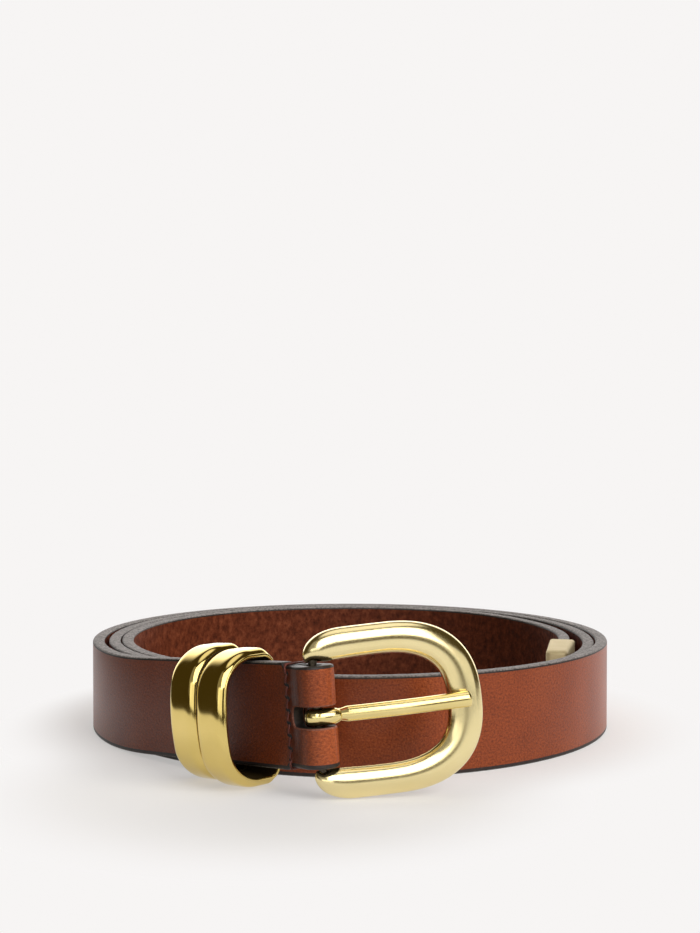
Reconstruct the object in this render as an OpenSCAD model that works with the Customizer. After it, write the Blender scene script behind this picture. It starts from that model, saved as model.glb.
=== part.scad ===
// Leather belt rolled into a standing coil, with a horseshoe buckle,
// two domed keepers on its straight end and a metal tip inside the coil.
// The coil's axis is Z, the strap stands on z = 0, and the straight buckle end runs along +X.

/* [Strap] */
// Width of the strap
strap_w = 25; // [22:0.5:30]
// Thickness of the outer leather
outer_t = 1.8; // [1.4:0.1:2.2]
// Thickness of the lining leather
lining_t = 1.5; // [1.1:0.1:1.8]
// Bevel along the painted edges of the strap
edge_bevel = 0.5; // [0.2:0.1:0.8]

/* [Coil] */
// Outer radius of the coil
coil_r = 74.6; // [70:0.1:85]
// Air between one turn and the next
coil_gap = 0.35; // [0.3:0.05:0.8]
// Angle that the strap turns through, from the straight end to the tail
coil_sweep = 946; // [940:1:952]
// Angle at which the outer turn starts to move in behind the straight end
step_from = 305; // [295:1:315]
// Angle at which it has moved in
step_to = 358; // [350:1:360]
// Extra air under the outer turn, beside the straight end
start_slack = 1; // [0:0.1:1.5]
// Angle of the middle of that air
slack_at = 405; // [395:1:415]
// Half the angle that it covers
slack_span = 50; // [40:1:60]
// Extra air between the last two turns where the tail leaves the coil
tail_slack = 2.85; // [2.7:0.05:3.5]
// Angle over which the tail leaves the coil
tail_span = 40; // [36:1:46]

/* [Buckle end of the strap] */
// Length of the straight end, from the coil to the axis of the bar
lead_len = 61; // [59:0.5:70]
// Length of coil over which the straight end starts to rise
lead_ease = 25; // [15:1:45]
// How much each edge is cut back where the strap folds round the bar
chape_step = 0.8; // [0.5:0.05:2]
// Part of its thickness that the leather keeps in the fold
skive = 0.86; // [0.8:0.01:1]
// Distance from the bar's axis to the pinch of the fold
pinch_len = 5.9; // [5.5:0.1:7]
// Length of the folded end behind the pinch
return_len = 4; // [3:0.1:4.5]
// Height of the slot for the tongue
slot_h = 4.8; // [4.4:0.1:5.2]
// Length of the slot ahead of the eye of the tongue
slot_lead = 1.5; // [0.5:0.1:1.8]
// Distance from the pinch of the fold back to the seam
seam_back = 0.4; // [0.4:0.05:1.2]
// Length over which the edges are cut back
shoulder_len = 1; // [0.6:0.05:1.5]
// Stitches in the seam that closes the fold
stitch_count = 7; // [5:1:9]
// Thickness of the sewing thread
thread_d = 0.7; // [0.5:0.05:0.9]

/* [Buckle] */
// Radius of the bar
bar_r = 1; // [0.9:0.05:1.3]
// Depth that the bar is seated in each arm
bar_seat = 1.7; // [1.2:0.1:1.8]
// Width of an arm of the frame
arm_w = 7.2; // [6.5:0.1:8]
// Width of the far side of the frame
far_w = 8.2; // [7:0.1:10]
// Distance from the bar's axis to the far side of the window
window_len = 30.5; // [29.5:0.1:36]
// Distance from the bar's axis to where the arms start to bend
arm_len = 15.5; // [12:0.1:20]
// Length over which an arm rounds off at its nose
nose_round = 9.5; // [7:0.1:11]
// Height of the frame's dome in front of the bar's axis
frame_front = 2.7; // [2.6:0.1:3.2]
// Depth of the frame behind the bar's axis
frame_back = 2.3; // [2.2:0.1:2.8]
// Squareness of the far corners, 2 is an ellipse
corner_power = 2.55; // [2:0.05:2.8]
// How far the frame sits up the bar from the middle of the strap
frame_raise = 0; // [-0.3:0.05:0.6]
// How much of an arm's width its round nose has lost where it stands on the floor
nose_rest = 0.5; // [0.2:0.05:0.8]
// Tilt of the far side away from the floor, from square to the bar
frame_tilt = 2.3; // [0:0.1:3.5]
// Angle that the frame stands open, from the line of the straight end
frame_open = 52; // [35:0.5:70]

/* [Tongue] */
// Width of the tongue
tongue_w = 3.9; // [3:0.1:4]
// Thickness of the tongue
tongue_t = 3.2; // [2.6:0.1:3.4]
// Length of the tongue past the inner edge of the far side
tongue_lap = 4.8; // [3:0.1:6]
// How far the middle of the shank stands in front of the bar at the eye
shank_rise = 1.4; // [1:0.1:2]
// Length of the flat stretch before the inner edge of the far side
tongue_flat = 2; // [1:0.1:4]
// How far the tongue hangs below the middle of the slot
tongue_drop = 0.2; // [0:0.05:0.3]
// Lean of the tongue toward the upper arm
tongue_lean = 1.5; // [0:0.1:2]
// Outer radius of the eye round the bar
eye_r = 3; // [2.5:0.05:3.2]
// Width of the eye along the bar
eye_w = 3.6; // [2.5:0.1:3.8]

/* [Keepers] */
// Length of one keeper along the strap
keeper_w = 10; // [8:0.1:10.6]
// Distance from the coil to the first keeper
keeper_start = 24.2; // [23.5:0.1:25]
// Room inside a keeper in front of the strap
keeper_room = 9.8; // [7:0.1:11]
// Wall of a keeper at its rims
keeper_wall = 0.9; // [0.8:0.05:1.3]
// Height of the dome between the rims
keeper_dome = 1.3; // [0.6:0.05:1.8]
// Radius of a keeper's upper front corner
keeper_top_r = 6.5; // [5:0.1:9]
// Radius of a keeper's lower front corner
keeper_foot_r = 6.5; // [5:0.1:9]
// Radius of a keeper's back corners
keeper_back_r = 2.2; // [1.5:0.1:3]
// How far the front of a keeper bows out between its corners
keeper_bulge = 2.2; // [0:0.1:2.6]

/* [Tip] */
// Width of the strap at the tip
tail_w = 23; // [20:0.5:25]
// Angle over which the strap narrows toward the tip
taper_span = 60; // [45:1:80]
// Length of straight strap before the tip
tail_bare = 6; // [5:0.1:8]
// Length of the metal tip
tip_len = 24; // [18:0.5:26]
// Thickness of the tip at its mouth
tip_mouth_t = 7.2; // [6.4:0.1:7.4]
// Thickness of the tip at its end
tip_end_t = 5.9; // [5:0.1:6.4]
// How far the tip stands past each edge of the strap
tip_rim = 0.7; // [0.6:0.05:1.2]
// Wall at the end of the tip
tip_wall_end = 1.2; // [0.8:0.1:2]
// Radius of the corners at the end of the tip
tip_corner = 1; // [0.4:0.1:1.5]
// Radius of the grub screw in the tip
screw_r = 1; // [0.8:0.05:1.2]
// Distance from the mouth of the tip to the screw
screw_x = 8; // [5:0.5:14]

/* [Prong holes] */
// Number of prong holes
hole_count = 3; // [3:1:6]
// Radius of a prong hole
hole_r = 2; // [1.95:0.05:2.5]
// Distance from one hole to the next
hole_pitch = 23; // [20:0.5:28]
// Distance from the end of the tip to the first hole
hole_first = 94; // [88:1:105]

/* [Clearances] */
// Between the bar and the leather folded round it
fold_clear = 0.1; // [0.05:0.01:0.4]
// Between the two legs of the fold
leg_gap = 0.1; // [0.05:0.01:0.2]
// Between the bar and its seats
bar_fit = 0.02; // [0.01:0.01:0.04]
// Between the bar and the eye of the tongue
eye_fit = 0.06; // [0.03:0.01:0.1]
// Between the tongue and the frame that it lies on
tongue_fit = 0.25; // [0.2:0.05:0.4]
// Between the folded end and each arm of the frame
chape_play = 0.65; // [0.6:0.05:1.4]
// Between the strap and each arm where it passes the window
window_play = 0.1; // [0.1:0.05:0.8]
// Between the strap and each end of a keeper
keeper_play = 1.6; // [1.4:0.05:2.5]
// Between the strap and the back wall of a keeper
keeper_back = 1.5; // [1.1:0.05:1.6]
// Between the two keepers
keeper_gap = 0.3; // [0.3:0.05:0.6]
// Between the strap's edge and a keeper that hangs on it
keeper_hang = 0.3; // [0.3:0.05:0.6]
// Between the strap and the inside of the tip
tip_fit = 0.1; // [0.05:0.01:0.2]
// Between the leather and a thread or a screw that lies on it
touch = 0.02; // [0.01:0.01:0.04]
// Between the frame and the surface it stands on
floor_clear = 0.1; // [0.05:0.05:0.3]

/* [Hidden] */

leather = "#7b3f26";
lining_brown = "#5d2a1c";
thread_brown = "#5a2d20";
gold = "#c9a94a";
steel = "#9a9a96";

$fn = 48;
coil_step = 4;
boolean_lap = 1;

strap_t = outer_t + lining_t;
chape_w = strap_w - 2*chape_step;

// Frame sizes that follow the strap
bar_gap = chape_w/2 + chape_play;
window_half = strap_w/2 + window_play;
nose_wall = 0.25;
nose_len = 3.6;
nose_lean = 1.1;
nose_power = 2.2;
nose_p = -bar_r - nose_wall;
arm_mid = window_half + arm_w/2;
far_mid = window_len + far_w/2;

// The end rises because the frame, which stands on its lower nose, is taller than the strap
bar_lift = bar_gap + arm_w - nose_rest + floor_clear - frame_raise - strap_w/2;
lead_slope = bar_lift/(lead_len + lead_ease/2);
lead_rise = atan(lead_slope);
lead_lift = lead_slope*lead_ease/2;
lead_origin = [0, -coil_r, strap_w/2 + lead_lift];
lead_dir = [cos(lead_rise), 0, sin(lead_rise)];
lead_up = [-sin(lead_rise), 0, cos(lead_rise)];
lead_out = [0, -1, 0];

// Fold round the bar, in the plane of the straight end, with room for the bar's tilt
fold_n = -strap_t - leg_gap/2;
fold_in_r = bar_r + fold_clear + chape_w/2*sin(frame_tilt);
fold_bond_r = fold_in_r + skive*lining_t;
fold_out_r = fold_bond_r + skive*outer_t;
fold_shift = fold_n + fold_bond_r + outer_t;
pinch_s = lead_len - pinch_len;
return_s = pinch_s - return_len;
stitch_s = pinch_s - seam_back;
step_s = stitch_s - thread_d - shoulder_len;

// Tail of the strap
tail_len = tip_len + tail_bare;
strap_end = tail_len - tip_wall_end - tip_fit;
tip_h = tail_w + 2*tip_rim;
tail_lift = tip_h/2 + floor_clear - strap_w/2;

function smooth(x) = let (c = min(1, max(0, x))) c*c*(3 - 2*c);
function bump(x) = abs(x) < 1 ? pow(1 - x*x, 2) : 0;
function unit(v) = v/norm(v);

// Air outside the strap at angle a, counted from the second turn on
function turn_gap(a) = coil_gap + start_slack*bump((a - slack_at)/slack_span)
  + tail_slack*pow(max(0, (a - coil_sweep + tail_span)/tail_span), 3);

// Radius of the strap's outer face at angle a
function face_r(a) = a < 360
  ? coil_r - (strap_t + turn_gap(360))*smooth((a - step_from)/(step_to - step_from))
  : face_r(a - 360) - strap_t - turn_gap(a);

// How far the strap has narrowed toward the tip at angle a, from 0 to 1
function taper(a) = smooth((a - coil_sweep + taper_span)/taper_span);

// How far the middle of the strap lies above half its width at angle a
function arc(a) = a*coil_r*PI/180;
function lift(a) = lead_slope*pow(max(0, lead_ease - arc(a)), 2)/(2*lead_ease) + tail_lift*taper(a);

// A station is the middle of the bond line, the outward normal, the cross direction,
// half the width and the share of the thickness
function coil_station(a) = let (
    r = face_r(a) - outer_t,
    dr = (face_r(a + 0.5) - face_r(a - 0.5))*180/PI,
    radial = [-sin(a), -cos(a), 0],
    along = [-cos(a), sin(a), 0],
    travel = unit(r*along + dr*radial),
    pitch = atan(lead_slope*max(0, 1 - arc(a)/lead_ease))
  ) [
    r*radial + [0, 0, strap_w/2 + lift(a)],
    unit(r*radial - dr*along),
    cos(pitch)*[0, 0, 1] + sin(pitch)*travel,
    (strap_w + (tail_w - strap_w)*taper(a))/2, 1
  ];

function end_station(s, n, dir, half, keep) = [
  lead_origin + s*lead_dir + n*lead_out,
  unit(dir[0]*lead_dir + dir[1]*lead_out), lead_up, half, keep
];
function end_half(s) = strap_w/2 - chape_step*smooth((s - step_s)/shoulder_len);

// Curve from the pinch to the top of the fold, on the front (side 1) or the back (side -1)
function pinch_station(x, side) = let (
    n = fold_shift*smooth(x) - outer_t - fold_n,
    slope = fold_shift*6*x*(1 - x)/pinch_len
  ) end_station(pinch_s + x*pinch_len, fold_n + side*n, [-slope, side],
    chape_w/2, 1 - (1 - skive)*smooth(x));

function fold_station(phi) = end_station(
  lead_len + fold_bond_r*cos(phi), fold_n + fold_bond_r*sin(phi), [cos(phi), sin(phi)],
  chape_w/2, skive);

tail_root = coil_station(coil_sweep);
tail_out = tail_root[1];
tail_dir = [tail_out[1], -tail_out[0], 0];
tail_yaw = atan2(tail_dir[1], tail_dir[0]);
function tail_station(l) = [tail_root[0] + l*tail_dir, tail_out, tail_root[2], tail_w/2, 1];

lead_steps = concat(
  stitch_s,
  [for (x = [1:-0.25:0]) step_s + x*shoulder_len],
  [for (x = [0.75:-0.25:0.25]) x*step_s]);
stations = concat(
  [for (s = [return_s, (return_s + pinch_s)/2])
    end_station(s, 2*fold_n + outer_t, [0, -1], chape_w/2, 1)],
  [for (x = [0:0.2:0.8]) pinch_station(x, -1)],
  [for (phi = [-90:15:90]) fold_station(phi)],
  [for (x = [0.8:-0.2:0]) pinch_station(x, 1)],
  [for (s = lead_steps) end_station(s, -outer_t, [0, 1], end_half(s), 1)],
  [for (a = [0:coil_step:coil_sweep - coil_step/2]) coil_station(a)],
  [tail_root, tail_station(strap_end/2), tail_station(strap_end)]
);

// Sections of the two leathers, as [distance along the normal, distance across]
function outer_section(half, keep) = let (t = outer_t*keep, b = edge_bevel) [
  [0, -half], [t - b, -half], [t, b - half], [t, half - b], [t - b, half], [0, half]];
function lining_section(half, keep) = let (t = lining_t*keep, b = edge_bevel) [
  [0, half], [b - t, half], [-t, half - b], [-t, b - half], [b - t, -half], [0, -half]];
function strap_ring(at, section) = [for (p = section) at[0] + p[0]*at[1] + p[1]*at[2]];

function side_faces(count, from, to) = [for (j = [0:count - 1]) each let (k = (j + 1) % count)
  [[from + j, to + k, from + k], [from + j, to + j, to + k]]];

// Solid through a row of rings, with flat ends
module sweep(rings) {
  count = len(rings[0]);
  last = len(rings) - 1;
  polyhedron(
    points = [for (ring = rings) each ring],
    faces = concat(
      [[for (j = [0:count - 1]) j]],
      [for (i = [0:last - 1]) each side_faces(count, i*count, (i + 1)*count)],
      [[for (j = [count - 1:-1:0]) last*count + j]]),
    convexity = 12);
}

// Closed band through a loop of rings
module loop_sweep(rings) {
  count = len(rings[0]);
  total = len(rings);
  polyhedron(
    points = [for (ring = rings) each ring],
    faces = [for (i = [0:total - 1]) each side_faces(count, i*count, ((i + 1) % total)*count)],
    convexity = 12);
}

// Places on the straight end: s along it, n outward from its face, b up across it
module at_lead(s, n, b) {
  translate(lead_origin) rotate([0, -lead_rise, 0]) translate([s, -n, b]) children();
}

// The buckle's own axes: x from the bar to the far side, y backward, z along the bar
module at_buckle(b) {
  at_lead(lead_len, fold_n, 0) rotate([0, -frame_tilt, frame_open]) translate([0, 0, b]) children();
}

// The tail's own axes: x toward the end, y outward, z up, from the start of the tail
module at_tail(l) {
  translate(tail_root[0]) rotate([0, 0, tail_yaw]) translate([l, 0, 0]) children();
}

function hole_angle(i) = coil_sweep
  - (hole_first + i*hole_pitch - tail_len)*180/PI/(face_r(coil_sweep - 90) - strap_t/2);

module prong_holes() {
  for (i = [0:hole_count - 1]) {
    at = coil_station(hole_angle(i));
    translate(at[0]) rotate([0, 0, atan2(at[1][1], at[1][0])]) rotate([0, 90, 0])
      cylinder(r = hole_r, h = strap_t + 2*boolean_lap, center = true);
  }
}

// Room for the eye and the root of the tongue, open toward the fold
module tongue_slot() {
  corner = slot_h/4;
  start = lead_len - eye_r - slot_lead;
  reach = eye_r + slot_lead + 2*fold_out_r;
  depth = 4*fold_out_r;
  at_lead(start, fold_n, 0) {
    translate([corner, -depth/2, -slot_h/2]) cube([reach - corner, depth, slot_h]);
    translate([0, -depth/2, corner - slot_h/2]) cube([2*corner, depth, slot_h - 2*corner]);
    for (side = [-1, 1])
      translate([corner, 0, side*(slot_h/2 - corner)]) rotate([90, 0, 0])
        cylinder(r = corner, h = depth, center = true);
  }
}

module strap_outer() {
  color(leather) difference() {
    sweep([for (at = stations) strap_ring(at, outer_section(at[3], at[4]))]);
    prong_holes();
    tongue_slot();
  }
}

module strap_lining() {
  color(lining_brown) difference() {
    sweep([for (at = stations) strap_ring(at, lining_section(at[3], at[4]))]);
    prong_holes();
    tongue_slot();
  }
}

// Thread of one straight stitch, lying along the seam
module stitch(length) {
  cylinder(d = thread_d, h = length, center = true);
  for (side = [-1, 1]) translate([0, 0, side*length/2]) sphere(d = thread_d);
}

module chape_stitching() {
  pitch = chape_w/(stitch_count + 1);
  stitch_len = pitch - 2*thread_d;
  front_n = thread_d/2 + touch;
  back_n = 2*fold_n - front_n;
  edge_b = chape_w/2 + front_n;
  turn = 1.2;
  color(thread_brown) {
    for (i = [0:stitch_count - 1]) for (n = [front_n, back_n])
      at_lead(stitch_s, n, (i - (stitch_count - 1)/2)*pitch) stitch(stitch_len);
    for (side = [-1, 1]) {
      for (n = [front_n, back_n]) {
        at_lead(stitch_s, n, side*(edge_b - turn/2)) cylinder(d = thread_d, h = turn, center = true);
        at_lead(stitch_s, n, side*edge_b) sphere(d = thread_d);
        at_lead(stitch_s, n, side*(edge_b - turn)) sphere(d = thread_d);
      }
      at_lead(stitch_s, (front_n + back_n)/2, side*edge_b) rotate([90, 0, 0])
        cylinder(d = thread_d, h = front_n - back_n, center = true);
    }
  }
}

// How much of its size an arm keeps at distance p, where it rounds off over a length
function nose_keep(p, length) = pow(1 - pow(1 - min(1, (p - nose_p)/length), nose_power), 1/nose_power);

// Middle line of one arm at distance p from the bar, and of the far side at angle t
function arm_q(p) = arm_mid
  - (window_half - bar_gap)*pow((arm_len - p)/(arm_len - nose_p), 2)
  - nose_lean*(1 - nose_keep(p, nose_round))*arm_w/2;
function far_point(t) = [
  arm_len + (far_mid - arm_len)*pow(abs(cos(t)), 2/corner_power),
  arm_mid*sign(sin(t))*pow(abs(sin(t)), 2/corner_power)];

nose_steps = [0.01, 0.05, 0.12, 0.22, 0.35, 0.5, 0.75, 1];
arm_steps = [0.25, 0.5, 0.75];
arm_ps = concat(
  [for (x = nose_steps) nose_p + x*nose_round],
  [for (x = arm_steps) nose_p + nose_round + x*(arm_len - nose_p - nose_round)]);
frame_line = concat(
  [for (p = arm_ps) [p, arm_q(p)]],
  [for (t = [90:-7.5:-90]) far_point(t)],
  [for (i = [len(arm_ps) - 1:-1:0]) [arm_ps[i], -arm_q(arm_ps[i])]]);

// Domed section of the frame: a low dome behind and a full one in front
module frame_sweep() {
  points = len(frame_line);
  section = [for (k = [0:15]) k*360/16];
  sweep([for (i = [0:points - 1]) let (
      at = frame_line[i],
      before = frame_line[max(0, i - 1)],
      after = frame_line[min(points - 1, i + 1)],
      travel = unit(after - before),
      side = [-travel[1], travel[0]],
      w = nose_keep(at[0], nose_round)
        *(arm_w + (far_w - arm_w)*smooth((at[0] - arm_len)/(far_mid - arm_len)))
    ) [for (k = section) let (
      across = w/2*cos(k),
      deep = nose_keep(at[0], nose_len)*(sin(k) > 0 ? frame_front : frame_back)*sin(k)
    ) [at[0] + across*side[0], -deep, at[1] + across*side[1]]]]);
}

module buckle_frame() {
  bore_r = bar_r + bar_fit;
  color(gold) at_buckle(frame_raise) difference() {
    frame_sweep();
    for (side = [-1, 1])
      translate([0, 0, side*(bar_gap + (bar_seat + bar_fit - boolean_lap)/2)])
        cylinder(r = bore_r, h = bar_seat + bar_fit + boolean_lap, center = true);
  }
}

module buckle_bar() {
  color(steel) at_buckle(frame_raise) cylinder(r = bar_r, h = 2*(bar_gap + bar_seat), center = true);
}

tongue_end = window_len + tongue_lap;
tongue_rest = frame_front + tongue_fit + tongue_t/2;
tongue_root = (bar_r + eye_r)/2;
tongue_land = window_len - tongue_flat;

// The shank leaves the eye and climbs to lie across the crest of the far side
module tongue_shank() {
  steps = [0, 0.06, 0.15, 0.3, 0.45, 0.6, 0.75, 0.9, 1];
  places = concat(
    [for (x = steps) let (p = tongue_root + x*(tongue_land - tongue_root))
      [p, shank_rise + (tongue_rest - shank_rise)*sin(90*x), 1]],
    [for (x = [0.5, 0.85]) [tongue_land + x*(tongue_end - tongue_land), tongue_rest, 1]],
    [[tongue_end - 0.25, tongue_rest, 0.93], [tongue_end, tongue_rest, 0.75]]);
  sweep([for (at = places) [for (k = [0:30:330])
    [at[0], -at[1] - at[2]*tongue_t/2*sin(k), at[0]*tan(tongue_lean) + at[2]*tongue_w/2*cos(k)]]]);
}

module tongue() {
  color(gold) at_buckle(-tongue_drop) difference() {
    union() {
      cylinder(r = eye_r, h = eye_w, center = true);
      tongue_shank();
    }
    cylinder(r = bar_r + eye_fit, h = tongue_w + 2*boolean_lap, center = true);
  }
}

// Inside of a keeper, as a loop of [outward, up, outward normal] round its middle
keeper_in_d = strap_t + keeper_back + keeper_room;
keeper_in_h = strap_w + 2*keeper_play;
keeper_n = (keeper_room - strap_t - keeper_back)/2;
keeper_flat = 0.2;
keeper_round = min(keeper_top_r, keeper_in_d - keeper_back_r - keeper_flat);

function keeper_corner(from, out, up, r) = [for (k = [0:15:90])
  [out*(keeper_in_d/2 - r) + r*cos(from + k), up*(keeper_in_h/2 - r) + r*sin(from + k), from + k]];
keeper_loop = concat(
  keeper_corner(0, 1, 1, keeper_round),
  keeper_corner(90, -1, 1, keeper_back_r),
  keeper_corner(180, -1, -1, keeper_back_r),
  keeper_corner(270, 1, -1, keeper_foot_r),
  [for (x = [0.25, 0.5, 0.75])
    [keeper_in_d/2, keeper_foot_r - keeper_in_h/2 + x*(keeper_in_h - keeper_round - keeper_foot_r), 0]]);

// One domed band round the strap, with its left rim at s = 0
module keeper_band() {
  loop_sweep([for (at = keeper_loop) let (
      front = smooth((at[0] + keeper_in_d/2)/keeper_back_r),
      ahead = smooth((at[0] + keeper_in_d/2 - keeper_back_r)/(keeper_in_d/2)),
      drop = keeper_bulge*pow(2*at[1]/keeper_in_h, 2)*ahead,
      dome = keeper_dome*front,
      inner = [at[0] - drop, at[1]],
      out = [cos(at[2]), sin(at[2])],
      section = concat(
        [[0, 0]],
        [for (x = [0:1/6:1.01]) [x*keeper_w, keeper_wall + dome*(1 - pow(2*x - 1, 2))]],
        [[keeper_w, 0]])
    ) [for (p = section) [p[0], -inner[0] - p[1]*out[0], inner[1] + p[1]*out[1]]]]);
}

// A keeper stands on the floor, or hangs on the strap where the strap is too high for that
keeper_half = keeper_in_h/2 + keeper_wall + keeper_dome;
function keeper_s(i) = keeper_start + i*(keeper_w + keeper_gap);
function keeper_z(i) = lead_origin[2] + (keeper_s(i) + keeper_w/2)*sin(lead_rise);
function keeper_drop(i) = min(
  keeper_play - keeper_hang,
  (keeper_z(i) - 2*floor_clear)/cos(lead_rise) - keeper_half);

module keeper(i) {
  color(gold) at_lead(keeper_s(i), keeper_n, -keeper_drop(i)) keeper_band();
}
module keeper_inner() { keeper(0); }
module keeper_outer() { keeper(1); }

// Plan of the tip: straight sides that close toward a blunt end with round corners
tip_mid = (outer_t - lining_t)/2;
function tip_half(x) = (tip_mouth_t + (tip_end_t - tip_mouth_t)*x/tip_len)/2;
tip_plan = concat(
  [[0, -tip_half(0)]],
  [for (k = [-90:15:0]) [tip_len - tip_corner + tip_corner*cos(k),
    -tip_half(tip_len - tip_corner) + tip_corner + tip_corner*sin(k)]],
  [for (k = [0:15:90]) [tip_len - tip_corner + tip_corner*cos(k),
    tip_half(tip_len - tip_corner) - tip_corner + tip_corner*sin(k)]],
  [[0, tip_half(0)]]);

screw_len = tip_half(screw_x) - strap_t/2 - tip_fit;

module at_screw() {
  at_tail(tail_len - tip_len + screw_x) translate([0, -lining_t - tip_fit, 0])
    rotate([90, 0, 0]) children();
}

module tip_cap() {
  color(gold) difference() {
    at_tail(tail_len - tip_len) translate([0, tip_mid, -tip_h/2])
      linear_extrude(tip_h) polygon(tip_plan);
    at_tail(tail_len - tip_len - boolean_lap)
      translate([0, -lining_t - tip_fit, -tail_w/2 - tip_fit])
        cube([tip_len - tip_wall_end + boolean_lap, strap_t + 2*tip_fit, tail_w + 2*tip_fit]);
    at_screw() translate([0, 0, -tip_fit/2])
      cylinder(r = screw_r + bar_fit, h = screw_len + boolean_lap + tip_fit);
  }
}

module tip_screw() {
  socket_r = 0.55*screw_r;
  socket_h = 0.5*screw_len;
  color(steel) at_screw() translate([0, 0, touch - tip_fit]) difference() {
    cylinder(r = screw_r, h = screw_len);
    translate([0, 0, screw_len - socket_h]) cylinder(r = socket_r, h = 2*socket_h, $fn = 6);
  }
}

strap_outer();
strap_lining();
chape_stitching();
buckle_frame();
buckle_bar();
tongue();
keeper_inner();
keeper_outer();
tip_cap();
tip_screw();
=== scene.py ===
import math
import bmesh
import bpy
import numpy as np
from mathutils import Matrix


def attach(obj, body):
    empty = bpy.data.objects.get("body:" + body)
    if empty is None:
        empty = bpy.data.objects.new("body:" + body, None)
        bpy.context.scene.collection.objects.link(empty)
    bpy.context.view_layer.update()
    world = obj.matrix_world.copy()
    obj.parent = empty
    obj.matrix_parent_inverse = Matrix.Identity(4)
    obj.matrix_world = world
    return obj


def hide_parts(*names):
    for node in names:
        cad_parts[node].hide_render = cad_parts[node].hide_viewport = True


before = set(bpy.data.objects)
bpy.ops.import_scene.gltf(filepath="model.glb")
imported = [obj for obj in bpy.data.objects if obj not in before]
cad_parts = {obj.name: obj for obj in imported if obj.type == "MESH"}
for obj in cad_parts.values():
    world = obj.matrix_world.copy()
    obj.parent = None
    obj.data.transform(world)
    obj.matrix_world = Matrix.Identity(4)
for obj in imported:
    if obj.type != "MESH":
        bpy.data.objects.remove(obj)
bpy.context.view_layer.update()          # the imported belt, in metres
scene = bpy.context.scene
mm = 0.001             # sizes are in millimetres up to the studio, angles are in degrees
mergeWithin = 0.0005   # points of a new mesh this near become one
sliver = 0.002         # edges this short are cleared after a cut
print("belt: frame loaded")


# small helpers

def smooth(x):
    c = min(1.0, max(0.0, x))
    return c * c * (3 - 2 * c)


def swell(x):
    return (1 - x * x) ** 2 if abs(x) < 1 else 0.0


def unit(v):
    return v / np.linalg.norm(v)


def sind(a):
    return math.sin(math.radians(a))


def cosd(a):
    return math.cos(math.radians(a))


def steps(first, last, count):
    return [first + (last - first) * i / count for i in range(count + 1)]


# the same without its ends
def between(first, last, count):
    return steps(first, last, count)[1:-1]


# angles of a full turn
def fullTurn(count):
    return [360 * k / count for k in range(count)]


# how far along a line each of its points is
def travelOf(line):
    return np.concatenate([[0], np.cumsum(np.linalg.norm(np.diff(np.array(line), axis=0), axis=1))])


# side faces of a row of rings that all have the same number of points
def ringFaces(rings, points, closed=False):
    faces = []
    for i in range(rings if closed else rings - 1):
        here = i * points
        there = (i + 1) % rings * points
        for j in range(points):
            k = (j + 1) % points
            faces.append((here + j, here + k, there + k, there + j))
    return faces


# the same with both ends capped, for points that are numbered from base
def tubeFaces(rings, points, base=0):
    last = (rings - 1) * points
    faces = ringFaces(rings, points) + [tuple(range(points)), tuple(range(last, last + points))]
    return [tuple(base + v for v in face) for face in faces]


# makes one object from points in mm, merges doubles, turns the faces outward and shades it smooth
def makePiece(name, points, faces, finishes, faceFinish=None, uvs=None, crease=None):
    mesh = bpy.data.meshes.new(name)
    mesh.from_pydata((np.asarray(points, float) * mm).tolist(), [], faces)
    if faceFinish is not None:
        mesh.polygons.foreach_set("material_index", faceFinish)
    if uvs is not None:
        corners = np.zeros(len(mesh.loops), int)
        mesh.loops.foreach_get("vertex_index", corners)
        layer = mesh.uv_layers.new(name="strapPlace")
        layer.data.foreach_set("uv", np.asarray(uvs, float)[corners].ravel())
    shape = bmesh.new()
    shape.from_mesh(mesh)
    bmesh.ops.remove_doubles(shape, verts=shape.verts, dist=mergeWithin * mm)
    bmesh.ops.recalc_face_normals(shape, faces=shape.faces)
    shape.to_mesh(mesh)
    shape.free()
    piece = bpy.data.objects.new(name, mesh)
    scene.collection.objects.link(piece)
    for finish in finishes:
        mesh.materials.append(finish)
    shadeSmooth(piece, crease)
    return piece


def shadeSmooth(piece, crease=None):
    mesh = piece.data
    mesh.polygons.foreach_set("use_smooth", [True] * len(mesh.polygons))
    if crease is not None:
        mesh.set_sharp_from_angle(angle=math.radians(crease))
    mesh.update()


# cuts or joins another object into this one, drops the other, and clears the slivers that are left
def combine(piece, other, operation):
    tool = piece.modifiers.new("combine", "BOOLEAN")
    tool.object = other
    tool.operation = operation
    tool.solver = "EXACT"
    graph = bpy.context.evaluated_depsgraph_get()
    result = bpy.data.meshes.new_from_object(piece.evaluated_get(graph))
    piece.modifiers.clear()
    piece.data = result
    bpy.data.objects.remove(other)
    shape = bmesh.new()
    shape.from_mesh(result)
    bmesh.ops.remove_doubles(shape, verts=shape.verts, dist=sliver * mm)
    bmesh.ops.dissolve_degenerate(shape, edges=shape.edges, dist=sliver * mm)
    bmesh.ops.triangulate(shape, faces=[face for face in shape.faces if len(face.verts) > 4])
    bmesh.ops.dissolve_degenerate(shape, edges=shape.edges, dist=sliver * mm)
    shape.to_mesh(result)
    shape.free()


def seat(piece, body, slotName, *nodes):
    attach(piece, body)
    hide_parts(*nodes)
    print("belt:", piece.name, "on", body)


# finishes

def newFinish(name):
    finish = bpy.data.materials.new(name)
    finish.use_nodes = True
    tree = finish.node_tree
    return finish, tree, tree.nodes["Principled BSDF"]


# each input gets a link from another node, or a constant
def feed(tree, node, inputs):
    for key, value in inputs.items():
        if isinstance(value, bpy.types.NodeSocket):
            tree.links.new(value, node.inputs[key])
        else:
            node.inputs[key].default_value = value


def addNode(tree, kind, inputs, **values):
    node = tree.nodes.new("ShaderNode" + kind)
    for key, value in values.items():
        setattr(node, key, value)
    feed(tree, node, inputs)
    return node


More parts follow.
